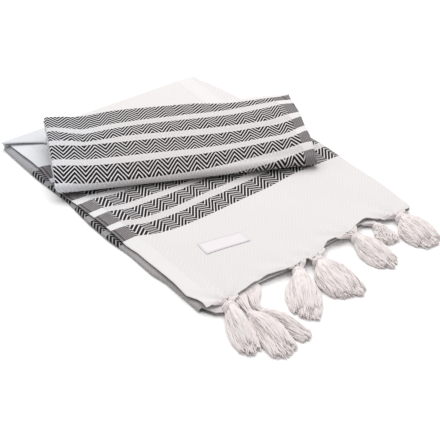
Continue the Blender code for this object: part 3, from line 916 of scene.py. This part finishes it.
def add_fan(mesh, row, knot, forward, side):
    """Warp yarns from the hem, gathered into the knot."""
    ply = 2 if row.ply == "top" else 1
    draw = mesh.chance.uniform
    strands = int(row.fan_width / FAN_PITCH)
    aside, above = (part * row.knot_width for part in FAN_IN_KNOT)
    for level in range(FAN_LEVELS):
        for i in range(strands):
            share = (i + 0.5 + 0.5 * (level % 2)) / strands * 2 - 1
            share += draw(-FAN_JITTER, FAN_JITTER)
            x = row.root_x + share * row.fan_width / 2
            front = hem_front(x, ply)
            here = np.array([[x, front]])
            lift = ply * loose_pitch(here)[0] + ply / 2 * top_relief(here)[0]
            height = CLOTH_THICKNESS / 2 + lift + (level - (FAN_LEVELS - 1) / 2) * FAN_LEVEL_PITCH
            start = np.array([x, front - FAN_START, height])
            angle = draw(0, math.tau)
            within = draw(*FAN_WITHIN)
            end = knot + aside * share * side + (0, 0, above * within * math.sin(angle))
            reach = np.linalg.norm(end - start)
            pull = start + (0, -FAN_PULLS[0] * reach, draw(*FAN_SWAY))
            back = end - FAN_PULLS[1] * reach * forward
            back = back + draw(-FAN_ASIDE, FAN_ASIDE) * side
            path = bezier(start, pull, back, end, FAN_POINTS)
            path[:, 2] = np.maximum(path[:, 2], FAN_RADIUS + NECK_GAP)
            mesh.add(path, FAN_RADIUS * draw(*FAN_RADII))


def add_knot(mesh, knot, forward, side, width):
    """Yarns wound round the tassel's neck, in two crossing bands."""
    draw = mesh.chance.uniform
    height = KNOT_FLATNESS * width
    turns = np.linspace(0, math.tau, KNOT_POINTS, endpoint=False)
    for tilt, loops, swell, spread in KNOT_BANDS:
        axis = math.cos(tilt) * forward + math.sin(tilt) * side
        across = -math.sin(tilt) * forward + math.cos(tilt) * side
        for loop in range(loops):
            place = (loop + 0.5) / loops * 2 - 1
            reach = swell * math.sqrt(1 - (spread * place) ** 2)
            wobble = 1 + KNOT_WOBBLE * np.sin(3 * turns + draw(0, KNOT_TURN))
            slide = spread * place * 0.5 * width + KNOT_SLIDE * np.sin(turns + tilt * 3)
            wide = reach * (width / 2 - YARN_RADIUS) * wobble * np.cos(turns)
            tall = reach * (height / 2 - YARN_RADIUS) * wobble * np.sin(turns)
            path = knot + np.outer(slide, axis) + np.outer(wide, across) + np.outer(tall, (0, 0, 1))
            path[:, 2] = np.maximum(path[:, 2], YARN_RADIUS + NECK_GAP)
            mesh.add(path, YARN_RADIUS * KNOT_YARN, closed=True)


def add_skirt(mesh, row, knot, forward, side, length):
    """Locks of yarns that open in front of the knot and lie on the floor."""
    draw = mesh.chance.uniform
    spread, width = row.spread, row.knot_width
    height = KNOT_FLATNESS * width
    start = SKIRT_START * width
    curl = CURLY if row.name == CURLY_TASSEL else CURL
    share = np.linspace(0, 1, SKIRT_POINTS)
    opened = np.sin(math.pi / 2 * np.minimum(1, SKIRT_OPENS * share))
    drawn_in = 1 - SKIRT_DRAWN_IN * smoothstep(SKIRT_END, 1, share)
    taper = 1 - YARN_TAPER * smoothstep(YARN_END, 1, share)
    at_knot, at_end = LOCK_SWELL
    swell = (1 - opened) * at_knot + opened * (1 - at_end * smoothstep(LOCK_END, 1, share))
    lower = max(FEWEST_LOCKS, int(round(spread / LOCK_PITCH)))
    places = [(2 * (k + 0.5 * (tier + 1)) / lower - 1, tier)
              for tier in range(LOCK_TIERS) for k in range(lower - tier)]
    for place, tier in places:
        lock_reach = (1 - LOCK_SHORTER * place**2 - TIER_SHORTER * tier
                      + draw(-UNEVEN, UNEVEN)) * length
        lock_radius = 0.5 * spread / lower * draw(*LOCK_RADII)
        drift = draw(-1, 1) * LOCK_DRIFT * spread
        bend = draw(-1, 1)
        yarns = max(FEWEST_YARNS, int(round(YARNS_PER_AREA * lock_radius**2)))
        spin = draw(-LOCK_SPIN, LOCK_SPIN)
        rest = lock_radius * (LOCK_REST + tier * TIER_LIFT) * (1 - LOCK_SINK * share**3)
        neck = height / 2 + (tier - LOWEST_TIER) * SKIRT_AT_KNOT[1] * height
        for k in range(yarns):
            radial = math.sqrt(LOCK_CORE + (1 - LOCK_CORE) * (k + 0.5) / yarns)
            angle = YARN_STEP * k + spin * share
            reach = lock_reach * (1 - YARN_SHORTER * radial**2 + draw(-UNEVEN, UNEVEN))
            wave = draw(0, CURL_TURN)
            curls = draw(*CURLS)
            frizz = curl * opened * np.sin(math.tau * curls * share + wave)
            frizz_up = (curl * CURL_UP * opened
                        * np.sin(math.tau * (curls + CURLS_UP) * share + 2 * wave))
            wide = ((1 - opened) * SKIRT_AT_KNOT[0] * width * place
                    + opened * 0.5 * (spread - lock_radius) * place * drawn_in
                    + drift * share**2 + LOCK_BEND * bend * np.sin(math.pi * share)
                    + lock_radius * radial * np.cos(angle) * swell + frizz)
            tall = ((1 - opened) * neck + opened * rest
                    + lock_radius * LOCK_FLATNESS * radial * np.sin(angle) * swell + frizz_up)
            clear = np.maximum(tall - YARN_RADIUS, YARN_FLATTEST * np.abs(tall))
            path = (knot * (1, 1, 0) + np.outer(start + share * (reach - start), forward)
                    + np.outer(wide, side) + np.outer(YARN_RADIUS + FLOOR_GAP + clear, (0, 0, 1)))
            mesh.add(path, YARN_RADIUS * draw(*YARN_RADII) * taper)


def make_tassel(row, finish, seed):
    mesh = YarnMesh(seed)
    knot = np.array([row.knot_x, row.knot_y, KNOT_FLATNESS * row.knot_width / 2 + KNOT_REST])
    toward = np.array([row.tip_x - row.knot_x, row.tip_y - row.knot_y, 0])
    length = np.linalg.norm(toward)
    forward = toward / length
    side = np.array([-forward[1], forward[0], 0])
    add_fan(mesh, row, knot - NECK * row.knot_width * forward, forward, side)
    add_knot(mesh, knot, forward, side, row.knot_width)
    add_skirt(mesh, row, knot, forward, side, length)
    return mesh.finished("yarns_of_" + row.name, finish)


# ---- label ----

def make_label(finish):
    """A satin strip with its short ends folded under, lying on the front band.

    The high powers keep the pinch, the puff and the rounding near its edges.
    """
    length, width = LABEL_SIZE
    rows, columns = LABEL_POINTS
    along, aside = (half.ravel() for half in np.meshgrid(
        np.linspace(-1, 1, rows), np.linspace(-1, 1, columns), indexing="ij"))
    stitch = np.cos(along * length / 2 / STITCH_PITCH * math.tau)
    u = along * length / 2
    v = aside * width / 2 - np.sign(aside) * LABEL_PINCH * (1 + stitch) * np.abs(aside) ** 8
    forward, back = direction_at(LABEL_ANGLE), direction_at(LABEL_ANGLE + 90)
    plan = np.array(LABEL_CENTRE) + np.outer(u, forward) + np.outer(v, back)
    hem = smoothstep(length / 2 - LABEL_HEM - LABEL_HEM_EASE,
                     length / 2 - LABEL_HEM + LABEL_HEM_EASE, np.abs(u))
    puff = LABEL_PUFF * (1 - np.abs(aside) ** 6) * (1 - np.abs(along) ** 10) + LABEL_HEM_RISE * hem
    low = 2 * loose_pitch(plan) + CLOTH_THICKNESS + top_relief(plan) + LABEL_GAP
    rounding = 0.5 * LABEL_THICKNESS * np.maximum(np.abs(along) ** 40, np.abs(aside) ** 24)
    top = np.column_stack([plan, low + LABEL_THICKNESS + puff - rounding])
    bottom = np.column_stack([plan, low + rounding * 0.5])

    count = rows * columns
    grid = np.arange(count).reshape(rows, columns)
    corners = (grid[:-1, :-1], grid[1:, :-1], grid[1:, 1:], grid[:-1, 1:])
    faces = []
    for quad in np.stack(corners, axis=-1).reshape(-1, 4).tolist():
        faces += [quad, [count + k for k in quad[::-1]]]
    rim = np.r_[grid[:, 0], grid[-1, 1:], grid[-2::-1, -1], grid[0, -2:0:-1]].tolist()
    for a, b in zip(rim, rim[1:] + rim[:1]):
        faces.append([b, a, count + a, count + b])
    points = np.vstack([top, bottom])
    attributes = {"length": np.r_[u, u], "height": np.r_[v, v]}
    return mesh_object("woven_label", points, outward_faces(points, faces), attributes, finish)


# ---- finishes ----

WHITE_COTTON = (0.715, 0.69, 0.685)
# painted shade: the cooler, slightly darker white of the back and left, which get less light
SHADED_COOL_WHITE = (0.67, 0.685, 0.72)
BLACK_YARN = (0.010, 0.008, 0.010)
FRINGE_YARN = (0.80, 0.745, 0.735)
SIDE_SHADE = (0.50, 0.49, 0.495)
SELVEDGE_LIGHT = (0.31, 0.29, 0.295)
SELVEDGE_DARK = (0.11, 0.10, 0.104)
LINE_EDGE = (0.30, 0.38)  # of a line's pitch, from its middle
WEAVE_IN_WHITE = 0.05  # how much the black lines show in the white
WEAVE_BETWEEN_STRIPES = 0.12
RAGGED_STRIPES = (900, 1.2)  # noise scale, reach
RAGGED_SELVEDGE = (400, 5)
THREADS = (2.5, 0.3)  # radians per millimetre, strength
THREAD_NOISE = (520, 3)  # scale, detail
THREAD_TONES = (0.1, 1.1)
THIN_LINE_AT = 3.5  # from the selvedge
THIN_LINE = (0.5, 1.1)
THIN_LINE_DARK = 0.75
# Painted shade: the white turns cooler and a little darker to the back and the left, where less
# light falls: per metre, cloudiness, start
BACK_LEFT_SHADING = (2.2, 5, 0.5, 0.7)
CLOUDS = 14.0  # noise scales
FIBRES = 1500.0
SATIN_CLOUDS = 120.0
FIBRE_HEIGHT = 0.6
CLOTH_BUMP = (0.5, 0.00022)
SATIN_EDGE = (0.62, 0.56, 0.60)
SATIN_MIDDLE = (0.74, 0.70, 0.72)
SATIN_CLOUD = (0.68, 0.61, 0.655)
STITCHES = (0.42, 0.38, 0.44)
SATIN_EDGE_WIDTH = 4.0
SATIN_CLOUD_SHARE = 0.35
STITCH_STRENGTH = 0.7
SATIN_RIBS = 7  # radians per millimetre
SATIN_ROUGHNESS = (0.06, 0.45)  # on the ribs, base
SATIN_RELIEF = (0.25, 1.5)  # of ribs, stitches
SATIN_BUMP = (0.6, 0.00015)


def in_group(steps, start):
    """1 between a group's first and last stripe, 0 elsewhere."""
    into = steps - start
    return (into > 0) * (into < STRIPES * STRIPE_PITCH)


def in_stripe(steps, start):
    """1 in the dark stripes of a group, 0 elsewhere."""
    local = ((steps - start) / STRIPE_PITCH).fraction() * STRIPE_PITCH
    return in_group(steps, start) * (local < STRIPE_WIDTH)


def in_both(place, steps):
    return place(steps, 0) + place(steps, SECOND_GROUP)


def cotton_cloth():
    """Herringbone cotton: white, with two groups of black zigzag stripes."""
    finish = Finish("herringbone_cotton", Roughness=0.92, Sheen_Weight=0.1,
                    Specular_IOR_Level=0.15)
    steps, lines, zigzag, edge, shade = map(finish.attribute, WEAVE)

    dark = in_both(in_stripe, steps + finish.wander(*RAGGED_STRIPES))
    climb = zigzag.pingpong(ZIGZAG_HALF) * (ZIGZAG_RISE / ZIGZAG_HALF)
    black = 1 - ((lines + climb).fraction() - 0.5).size().eased(*LINE_EDGE)

    wandering = edge + finish.wander(*RAGGED_SELVEDGE)
    plain = 1 - wandering.eased(SELVEDGE_WIDTH - 1, SELVEDGE_WIDTH + 1)
    turns, strength = THREADS
    threads = (edge * turns).sine() * strength + finish.noise(*THREAD_NOISE)
    thin_lines = 1 - (edge - THIN_LINE_AT).size().eased(*THIN_LINE)
    grey = finish.mixed(threads.eased(*THREAD_TONES), SELVEDGE_DARK, SELVEDGE_LIGHT)
    grey = finish.mixed(thin_lines * THIN_LINE_DARK, grey, BLACK_YARN)

    right, back = (finish.node("SeparateXYZ", {0: finish.rest_place()}, axis) for axis in "XY")
    per_back, per_right, cloudiness, shade_start = BACK_LEFT_SHADING
    # painted shade: the white cools and darkens to the back and the left
    back_shade = back * per_back - right * per_right + finish.noise(CLOUDS) * cloudiness - shade_start
    white = finish.mixed(back_shade.eased(0, 1), WHITE_COTTON, SHADED_COOL_WHITE)
    seen = in_both(in_group, steps) * WEAVE_BETWEEN_STRIPES + WEAVE_IN_WHITE
    weave = black * (1 - plain) * seen
    ground = finish.mixed(weave, white, (0, 0, 0), "MULTIPLY")
    stripes = finish.mixed(plain, finish.mixed(black, white, BLACK_YARN), grey)
    coloured = finish.mixed(dark, ground, stripes)
    finish.set("Base Color", finish.mixed(shade, coloured, SIDE_SHADE, "MULTIPLY"))
    finish.bumped(finish.noise(FIBRES) * FIBRE_HEIGHT - black * (1 - plain), *CLOTH_BUMP)
    return finish


def stitch_row(from_edge, along, from_other_edge):
    """1 on the stitches beside an edge, 0 elsewhere."""
    near = (from_edge - STITCH_INSET).size() < STITCH_WIDTH
    sewn = (along / STITCH_PITCH).fraction() < STITCH_SHARE
    return near * sewn * (from_other_edge > STITCH_INSET)


def satin_label():
    """Pale satin with small stitches near its edges."""
    finish = Finish("satin_label", Sheen_Weight=0.2, Specular_IOR_Level=0.5)
    length, width = finish.attribute("length"), finish.attribute("height")
    from_end = LABEL_SIZE[0] / 2 - length.size()
    from_side = LABEL_SIZE[1] / 2 - width.size()
    stitches = stitch_row(from_end, width, from_side) + stitch_row(from_side, length, from_end)
    ribs = (width * SATIN_RIBS).sine()
    middle = (from_side / SATIN_EDGE_WIDTH).eased(0, 1)
    satin = finish.mixed(middle, SATIN_EDGE, SATIN_MIDDLE)
    satin = finish.mixed(finish.noise(SATIN_CLOUDS) * SATIN_CLOUD_SHARE, satin, SATIN_CLOUD)
    finish.set("Base Color", finish.mixed(stitches * STITCH_STRENGTH, satin, STITCHES))
    finish.set("Roughness", ribs * SATIN_ROUGHNESS[0] + SATIN_ROUGHNESS[1])
    finish.bumped(ribs * SATIN_RELIEF[0] + stitches * SATIN_RELIEF[1], *SATIN_BUMP)
    return finish


def plain_yarn():
    return Finish("cotton_yarn", Base_Color=FRINGE_YARN, Roughness=0.9, Sheen_Weight=0.2,
                  Specular_IOR_Level=0.2)


# ---- stage ----

def make_floor():
    mesh = bpy.data.meshes.new("floor")
    reach = FLOOR_REACH
    mesh.from_pydata([(-reach, -reach, 0), (reach, -reach, 0), (reach, reach, 0),
                      (-reach, reach, 0)], [], [(0, 1, 2, 3)])
    mesh.materials.append(Finish("floor", Base_Color=FLOOR_COLOUR, Roughness=0.8).material)
    made = placed("floor", mesh)
    return made


def light_scene():
    world = bpy.data.worlds.new("studio")
    bpy.context.scene.world = world
    world.use_nodes = True
    background = world.node_tree.nodes["Background"]
    background.inputs["Color"].default_value = (1, 1, 1, 1)
    background.inputs["Strength"].default_value = WORLD_STRENGTH
    data = bpy.data.lights.new("overhead", "AREA")
    data.shape = "SQUARE"
    data.size = LIGHT_SIZE
    data.energy = LIGHT_POWER
    data.color = LIGHT_COLOUR
    made = placed("overhead", data)
    made.location = LIGHT_AT
    made.rotation_euler = (-Vector(LIGHT_AT)).to_track_quat("-Z", "Y").to_euler()
    bpy.context.scene.view_settings.view_transform = "Standard"


def make_camera():
    data = bpy.data.cameras.new("camera")
    data.lens = CAMERA_LENS
    data.sensor_width = CAMERA_SENSOR
    made = placed("camera", data)
    made.location = in_frame(CAMERA_AT)
    made.rotation_euler = (math.radians(90 - CAMERA_TILT), 0, -math.radians(CAMERA_HEADING))
    bpy.context.scene.camera = made


def main():
    make_camera()
    light_scene()
    floor = make_floor()
    sheet, top_start = folded_sheet()
    cloth = make_cloth(cotton_cloth(), sheet, top_start)
    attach(cloth, "root")
    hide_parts("towel_cloth")
    yarn = plain_yarn()
    for seed, row in enumerate(TASSELS):
        tassel = make_tassel(row, yarn, seed)
        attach(tassel, "root")
        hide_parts(row[0])
    label = make_label(satin_label())
    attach(label, "root")
    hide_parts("label")


main()
